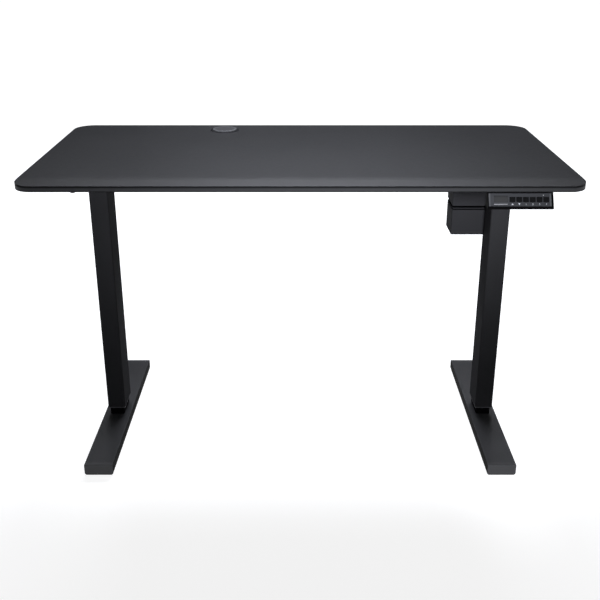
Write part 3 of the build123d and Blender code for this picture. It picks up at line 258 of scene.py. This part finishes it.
def powder_coat(name, dark, light, specular, roughness=0.61):
    """Fine-textured black powder coat: a tight orange peel with faint specks."""
    material, tree, shader = new_material(name)
    coords = object_coords(tree)
    peel = noise(tree, coords, 620.0, 2.0, 0.5)
    specks = noise(tree, coords, 2200.0, 1.0, 0.5)
    clouds = noise(tree, coords, 5.0, 3.0)
    mixed = math_node(tree, "ADD", math_node(tree, "MULTIPLY", specks, 0.6),
                      math_node(tree, "MULTIPLY", clouds, 0.4))
    tree.links.new(mix_colour(tree, remap(tree, mixed, 0.35, 0.7, 0.0, 1.0), dark, light),
                   shader.inputs["Base Color"])
    tree.links.new(remap(tree, clouds, 0.3, 0.7, roughness - 0.05, roughness + 0.05),
                   shader.inputs["Roughness"])
    shader.inputs["Specular IOR Level"].default_value = specular
    first = bump(tree, peel, 0.4, 0.00025)
    tree.links.new(bump(tree, specks, 0.3, 0.00006, first), shader.inputs["Normal"])
    return material


def turned_steel(name, colour, roughness, stretch):
    """Machined metal with fine turning lines."""
    material, tree, shader = new_material(name)
    coords = object_coords(tree)
    lines = noise(tree, coords, 300.0, 3.0, 0.6, stretch)
    stain = noise(tree, coords, 25.0, 4.0)
    tree.links.new(mix_colour(tree, remap(tree, stain, 0.3, 0.7, 0.0, 1.0),
                              tuple(c * 0.85 for c in colour), colour), shader.inputs["Base Color"])
    shader.inputs["Metallic"].default_value = 1.0
    tree.links.new(remap(tree, lines, 0.3, 0.7, roughness - 0.07, roughness + 0.08),
                   shader.inputs["Roughness"])
    tree.links.new(bump(tree, lines, 0.3, 0.00005), shader.inputs["Normal"])
    return material


def circuit_board():
    """Green solder mask, mottled by the tracks under it."""
    material, tree, shader = new_material("board")
    coords = object_coords(tree)
    cells = tree.nodes.new("ShaderNodeTexVoronoi")
    cells.inputs["Scale"].default_value = 260.0
    tree.links.new(coords, cells.inputs["Vector"])
    tracks = remap(tree, cells.outputs["Distance"], 0.25, 0.35, 0.0, 1.0)
    mask = mix_colour(tree, tracks, (0.010, 0.070, 0.030), (0.016, 0.110, 0.048))
    tree.links.new(mask, shader.inputs["Base Color"])
    shader.inputs["Roughness"].default_value = 0.4
    tree.links.new(bump(tree, tracks, 0.3, 0.00005), shader.inputs["Normal"])
    return material


def smoked_display():
    """Smoked window and its small lamp, told apart by where they lie along the handset."""
    material, tree, shader = new_material("display_plastic")
    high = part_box("handset_display")[1]
    lamp_from, lamp_blend = high.x - 0.004, 0.001
    coords = object_coords(tree)
    lamp = remap(tree, axis_share(tree, coords, "X"), lamp_from, lamp_from + lamp_blend, 0.0, 1.0)
    haze = noise(tree, coords, 900.0, 2.0)
    window = mix_colour(tree, remap(tree, haze, 0.3, 0.7, 0.0, 1.0),
                        (0.0112, 0.0115, 0.0126), (0.0134, 0.0138, 0.0150))
    tree.links.new(mix_colour(tree, lamp, window, (0.30, 0.30, 0.31)), shader.inputs["Base Color"])
    shader.inputs["Roughness"].default_value = 0.22
    shader.inputs["Specular IOR Level"].default_value = 0.36
    tree.links.new(bump(tree, haze, 0.05, 0.00003), shader.inputs["Normal"])
    return material


# near black, for painted shade
shade_black = (0.0006, 0.0006, 0.0007)
foot_top = (0.019, 0.019, 0.020)

# by material slot
materials = {
    "desktop_film": desktop_film(),
    "black_steel": powder_coat("black_steel", (0.0165, 0.0165, 0.0175), (0.0245, 0.0245, 0.026),
                               0.002),
    "dark_plastic": grained("dark_plastic", (0.0185, 0.0185, 0.0200), 0.14, 0.55, 1500.0, 0.00012,
                            specular=0.004),
    "fascia_plastic": grained("fascia_plastic", (0.0255, 0.0260, 0.0285), 0.06, 0.40, 1800.0,
                              0.00004, specular=0.04),
    "display_plastic": smoked_display(),
    "grey_plastic": grained("grey_plastic", (0.042, 0.043, 0.047), 0.08, 0.42, 1500.0, 0.00008,
                            specular=0.09),
    "key_rubber": grained("key_rubber", (0.004, 0.004, 0.0043), 0.12, 0.60, 1700.0, 0.00006,
                          specular=0.04),
    "rubber": grained("rubber", (0.018, 0.018, 0.018), 0.15, 0.75, 900.0, 0.0002),
    "white_plastic": grained("white_plastic", (0.72, 0.72, 0.69), 0.03, 0.40, 900.0, 0.00005),
    "cast_alloy": grained("cast_alloy", (0.52, 0.53, 0.54), 0.12, 0.48, 420.0, 0.0003, cloud=20.0,
                          metallic=1.0),
    "plain_steel": turned_steel("plain_steel", (0.56, 0.56, 0.57), 0.28, (1.0, 1.0, 12.0)),
    "screw_steel": grained("screw_steel", (0.050, 0.050, 0.053), 0.2, 0.42, 1200.0, 0.00005,
                           metallic=0.6),
    "motor_steel": turned_steel("motor_steel", (0.45, 0.46, 0.48), 0.35, (1.0, 1.0, 6.0)),
    "brass_gear": turned_steel("brass_gear", (0.62, 0.42, 0.18), 0.32, (8.0, 1.0, 1.0)),
    "board": circuit_board(),
}

# by node, where a node's tone in the photo differs from its slot's
# collars: a paler grey, partly their own plastic and partly a painted highlight, so their lower rim
# shows as a bright line
collar_plastic = grained("collar_plastic", (0.060, 0.060, 0.064), 0.12, 0.42, 1500.0, 0.00010,
                         specular=0.1)
# painted shade: the inner tubes are given near black for the shade below the collars
inner_steel = grained("inner_steel", (0.0015, 0.0015, 0.0018), 0.15, 0.60, 800.0, 0.00012,
                      specular=0.005)
housing_plastic = grained("housing_plastic", (0.002, 0.002, 0.0022), 0.12, 0.50, 1500.0, 0.00010,
                          specular=0.003)
flange_plastic = grained("flange_plastic", (0.0165, 0.0165, 0.0180), 0.12, 0.60, 1500.0, 0.00010,
                         specular=0.004)
lid_plastic = grained("lid_plastic", (0.050, 0.051, 0.055), 0.08, 0.42, 1500.0, 0.00010,
                      specular=0.09)
foot_coat = powder_coat("foot_coat", (0.016, 0.016, 0.017), (0.023, 0.023, 0.024), 0.11, 0.40)
# the caps' paler grey is partly their plastic and partly painted light on the feet's front ends; their
# tops take the foot's own tone
cap_plastic = grained("cap_plastic", (0.054, 0.054, 0.057), 0.10, 0.42, 1500.0, 0.00010,
                      specular=0.25)
darkened(cap_plastic, foot_top, looks_up, 0.16)
# painted shade: the side faces of the feet and their caps are given near black
for coated in (foot_coat, cap_plastic):
    darkened(coated, shade_black, looks_sideways)
# painted shade: near-black bands in the gaps above and below the motor's flange
darkened(flange_plastic, shade_black, flange_shade_bands)
# painted highlight: the grommet cap's raised rim keeps the paler grey, with a darker tone within it
darkened(lid_plastic, (0.027, 0.027, 0.029), inside_cap_rim, 0.06)
node_materials = {
    "column_collars": collar_plastic,
    "handset_housing": housing_plastic,
    "motor_flange": flange_plastic,
    "grommet_cap": lid_plastic,
}
for side in ("left", "right"):
    node_materials[f"{side}_inner_column"] = inner_steel
    node_materials[f"{side}_foot"] = foot_coat
    node_materials[f"{side}_foot_caps"] = cap_plastic

slot_of = {s["node"]: s["material_slot"] for s in frame["record"]["subparts"]}
for name, node in nodes.items():
    node.data.materials.clear()
    node.data.materials.append(node_materials.get(name) or materials[slot_of[name]])


# ------------------------------------------------------------------ marks on the fascia
fascia_low, fascia_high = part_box("handset_fascia")
fascia_lean = math.radians(30.0)
fascia_thickness = 0.0012
fascia_corner = Vector((0.0, fascia_low.y, fascia_low.z + fascia_thickness * math.sin(fascia_lean)))
up_fascia = Vector((0.0, math.sin(fascia_lean), math.cos(fascia_lean)))
out_of_fascia = Vector((0.0, -math.cos(fascia_lean), math.sin(fascia_lean)))
mark_lift = 0.00001
mark_thickness = 0.00010
digit_share = 0.7  # of a digit's height in its font size


def on_fascia(x, up, out=0.0):
    """A point x along the desk and up the fascia from its lower edge."""
    return Vector((x, 0.0, 0.0)) + fascia_corner + up_fascia * up + out_of_fascia * out


def marked(name, mesh, material):
    """Link a mesh laid on the fascia, for its print and for painted shade and highlights, which moves
    with the desk.
    """
    mesh.materials.clear()
    mesh.materials.append(material)
    piece = bpy.data.objects.new(name, mesh)
    bpy.context.scene.collection.objects.link(piece)
    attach(piece, "desk")
    return piece


def fascia_mark(name, outline, material):
    """A thin patch on the fascia, for print and for painted shade and highlights, from an
    anticlockwise outline of (x, up) points.
    """
    count = len(outline)
    lower = [on_fascia(x, up, mark_lift) for x, up in outline]
    upper = [corner + out_of_fascia * mark_thickness for corner in lower]
    ring = list(range(count))
    sides = [(i, j, j + count, i + count) for i, j in zip(ring, ring[1:] + ring[:1])]
    mesh = bpy.data.meshes.new(name)
    mesh.from_pydata(lower + upper, [], [ring[::-1], [i + count for i in ring], *sides])
    return marked(name, mesh, material)


def fascia_number(name, text, x, up, height, material):
    """A printed number on the fascia, centred on x and up."""
    curve = bpy.data.curves.new(name, "FONT")
    curve.body = text
    curve.size = height / digit_share
    curve.align_x = "CENTER"
    curve.extrude = mark_thickness / 2
    source = bpy.data.objects.new(name + "_curve", curve)
    bpy.context.scene.collection.objects.link(source)
    source.rotation_euler = (math.pi / 2 - fascia_lean, 0, 0)
    source.location = on_fascia(x, up - height / 2, mark_lift + mark_thickness / 2)
    bpy.context.view_layer.update()
    evaluated = source.evaluated_get(bpy.context.evaluated_depsgraph_get())
    mesh = bpy.data.meshes.new_from_object(evaluated)
    mesh.transform(source.matrix_world)
    bpy.data.objects.remove(source)
    mesh.name = name
    return marked(name, mesh, material)


def fascia_strip(name, x_from, x_to, up_from, up_to, material):
    """A rectangle on the fascia, used for its print and for painted shade and highlights."""
    outline = [(x_from, up_from), (x_to, up_from), (x_to, up_to), (x_from, up_to)]
    return fascia_mark(name, outline, material)


mark_ink = grained("mark_ink", (0.30, 0.31, 0.33), 0.1, 0.5, 2500.0, 0.00002)
bar_ink = grained("bar_ink", (0.19, 0.19, 0.20), 0.1, 0.5, 2500.0, 0.00002)
edge_highlight_grey = grained("edge_highlight_grey", (0.048, 0.049, 0.052), 0.1, 0.45, 1800.0, 0.00002, specular=0.04)
bezel_and_shade_black = grained("bezel_and_shade_black", (0.003, 0.003, 0.0033), 0.1, 0.5, 1800.0, 0.00002,
                       specular=0.01)

fascia_rise = ((fascia_high.z - fascia_low.z - fascia_thickness * math.sin(fascia_lean))
               / math.cos(fascia_lean))
border_low, under_desk_shade_height = 0.0013, 0.0030
edge_width, edge_inset = 0.0030, 0.0005
# the lower strip is the housing's black bezel; the upper strip is painted shade under the desktop's
# front edge
fascia_strip("border_lower", fascia_low.x, fascia_high.x, 0.0, border_low, bezel_and_shade_black)
fascia_strip("shade_under_desk", fascia_low.x, fascia_high.x, fascia_rise - under_desk_shade_height, fascia_rise,
             bezel_and_shade_black)
# painted highlight: a paler strip along each end of the fascia, where its rounded edges catch the
# light
for side, edge_x in (("left", fascia_low.x + edge_inset),
                     ("right", fascia_high.x - edge_inset - edge_width)):
    fascia_strip(f"edge_{side}", edge_x, edge_x + edge_width, border_low, fascia_rise - under_desk_shade_height,
                 edge_highlight_grey)
bar_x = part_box("handset_display")[0].x
bar_length, bar_low, bar_high = 0.0285, 0.0051, 0.0065
fascia_strip("bar_display", bar_x, bar_x + bar_length, bar_low, bar_high, bar_ink)

mark_up = 0.0060  # of the marks' middle above the fascia's lower edge
mark_size = 0.0036
arrow_half = 0.6 * mark_size


def key_middle(key):
    """Where the middle of a key lies along the desk."""
    low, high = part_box(key)
    return (low.x + high.x) / 2


for key, way in (("key_up", 1), ("key_down", -1)):
    x, half, rise = key_middle(key), way * arrow_half, way * mark_size / 2
    fascia_mark(f"mark_{key}", [(x - half, mark_up - rise), (x + half, mark_up - rise),
                                (x, mark_up + rise)], mark_ink)
for number in ("1", "2", "3", "4"):
    key = f"key_{number}"
    fascia_number(f"mark_{key}", number, key_middle(key), mark_up, mark_size, mark_ink)


# ------------------------------------------------------------------ floor, backdrop and world
def light_path_share(tree, *names):
    """1 for the ray kinds named, as one socket."""
    path = tree.nodes.new("ShaderNodeLightPath")
    share = path.outputs[names[0]]
    for other in names[1:]:
        share = math_node(tree, "MAXIMUM", share, path.outputs[other])
    return share


def floor_material():
    """Pale floor: white to the camera and to gloss, and it keeps the object's shadow.

    Away from the lamps its own white makes up for their light.
    """
    material, tree, shader = new_material("floor_paper")
    coords = object_coords(tree)
    paper = noise(tree, coords, 40.0, 3.0)
    tree.links.new(mix_colour(tree, paper, (0.50, 0.50, 0.50), (0.52, 0.52, 0.52)),
                   shader.inputs["Base Color"])
    shader.inputs["Roughness"].default_value = 0.9
    shader.inputs["Specular IOR Level"].default_value = 0.1
    seen = light_path_share(tree, "Is Camera Ray", "Is Glossy Ray", "Is Transmission Ray")
    shader.inputs["Emission Color"].default_value = (1, 1, 1, 1)
    reach = tree.nodes.new("ShaderNodeVectorMath")
    reach.operation = "LENGTH"
    tree.links.new(coords, reach.inputs[0])
    lit_to, unlit_from = 1.2, 3.5
    white = remap(tree, reach.outputs["Value"], lit_to, unlit_from, 0.84, 1.0)
    tree.links.new(math_node(tree, "MULTIPLY", seen, white), shader.inputs["Emission Strength"])
    return material


def staged_sheet(name, corners, material):
    """A flat rectangle that belongs to the studio."""
    mesh = bpy.data.meshes.new(name)
    mesh.from_pydata(corners, [], [(0, 1, 2, 3)])
    mesh.materials.append(material)
    sheet = bpy.data.objects.new(name, mesh)
    bpy.context.scene.collection.objects.link(sheet)
    return sheet


floor_half = 60.0
staged_sheet("floor", [(-floor_half, -floor_half, 0), (floor_half, -floor_half, 0),
                       (floor_half, floor_half, 0), (-floor_half, floor_half, 0)],
             floor_material())

# a dark cloth behind the desk, out of the camera's sight, keeps the white world out of the gloss
cloth = grained("studio_cloth", (0.030, 0.030, 0.030), 0.1, 0.9, 60.0, 0.001, specular=0.0)
cloth_y, cloth_half, cloth_top = 3.2, 4.5, 2.5
backdrop = staged_sheet("backdrop_cloth", [(-cloth_half, cloth_y, 0.0), (cloth_half, cloth_y, 0.0),
                                           (cloth_half, cloth_y, cloth_top),
                                           (-cloth_half, cloth_y, cloth_top)], cloth)
backdrop.visible_camera = False
backdrop.visible_diffuse = False
backdrop.visible_shadow = False

world = bpy.data.worlds.new("studio")
bpy.context.scene.world = world
world.use_nodes = True
world_tree = world.node_tree
background = world_tree.nodes["Background"]
background.inputs["Color"].default_value = (1, 1, 1, 1)
seen_share = light_path_share(world_tree, "Is Camera Ray", "Is Glossy Ray", "Is Transmission Ray")
world_tree.links.new(remap(world_tree, seen_share, 0.0, 1.0, 0.03, 1.0),
                     background.inputs["Strength"])


# ------------------------------------------------------------------ lamps
cool_blue = (0.87, 0.90, 1.0)
pale_blue = (0.93, 0.95, 1.0)


def aimed_lamp(data, name, place, target, power, colour):
    """Place a lamp and aim it at target."""
    data.energy = power
    data.color = colour
    lamp = bpy.data.objects.new(name, data)
    bpy.context.scene.collection.objects.link(lamp)
    lamp.location = place
    lamp.rotation_euler = (Vector(target) - Vector(place)).to_track_quat("-Z", "Y").to_euler()
    lamp.visible_camera = False
    return lamp


def area_lamp(name, place, target, size, size_y, power, colour=(1.0, 1.0, 1.0)):
    """A soft rectangular lamp."""
    data = bpy.data.lights.new(name, "AREA")
    data.shape = "RECTANGLE"
    data.size = size
    data.size_y = size_y
    return aimed_lamp(data, name, place, target, power, colour)


def spot_lamp(name, place, target, angle, blend, radius, power, in_gloss=True):
    """A soft round beam, left out of the gloss where in_gloss is False."""
    data = bpy.data.lights.new(name, "SPOT")
    data.spot_size = math.radians(angle)
    data.spot_blend = blend
    data.shadow_soft_size = radius
    lamp = aimed_lamp(data, name, place, target, power, pale_blue)
    lamp.visible_glossy = in_gloss
    return lamp


# the two behind the desk give the top its sheen, and the slope along its front a bright band
area_lamp("behind_wide", (0.0, 2.2, 2.8), (0.0, 0.0, 0.73), 2.8, 0.6, 74.0, cool_blue)
area_lamp("behind_middle", (0.03, 2.1, 2.8), (0.03, 0.0, 0.73), 1.2, 0.5, 62.0, cool_blue)
area_lamp("right", (3.0, -0.6, 1.0), (0.5, 0.0, 0.4), 1.0, 1.0, 12.0)
spot_lamp("front", (0.6, -3.3, 1.35), (0.15, 0.0, 0.95), 26.0, 1.0, 0.3, 1450.0, in_gloss=False)
spot_lamp("front_left", (-2.0, -2.8, 1.2), (-0.15, 0.0, 0.75), 32.0, 1.0, 0.3, 240.0,
          in_gloss=False)
# a toe lamp lights each foot's front end, and a heel lamp throws the column's shadow along the foot
for side, way, toe_power, heel_power in (("left", -1, 30.0, 5.0), ("right", 1, 110.0, 11.0)):
    foot_x = way * 0.48
    spot_lamp(f"{side}_toe", (foot_x, -1.9, 0.95), (foot_x, -0.27, 0.02), 9.0, 1.0, 0.1,
              toe_power)
    spot_lamp(f"{side}_heel", (way * 0.95, 2.3, 1.60), (foot_x, -0.06, 0.03), 15.0, 0.6, 0.15,
              heel_power)

# ------------------------------------------------------------------ camera, fitted to the photo
camera_data = bpy.data.cameras.new("camera")
camera_data.sensor_width = 36.0
camera_data.lens = 51.64
camera_data.shift_x = -0.00029
camera_data.shift_y = -0.04663
camera = bpy.data.objects.new("camera", camera_data)
bpy.context.scene.collection.objects.link(camera)
camera.location = (0.0, -2.01638, 1.20674)
camera.rotation_euler = (math.radians(68.637), 0.0, 0.0)
bpy.context.scene.camera = camera
bpy.context.scene.view_settings.view_transform = "Standard"
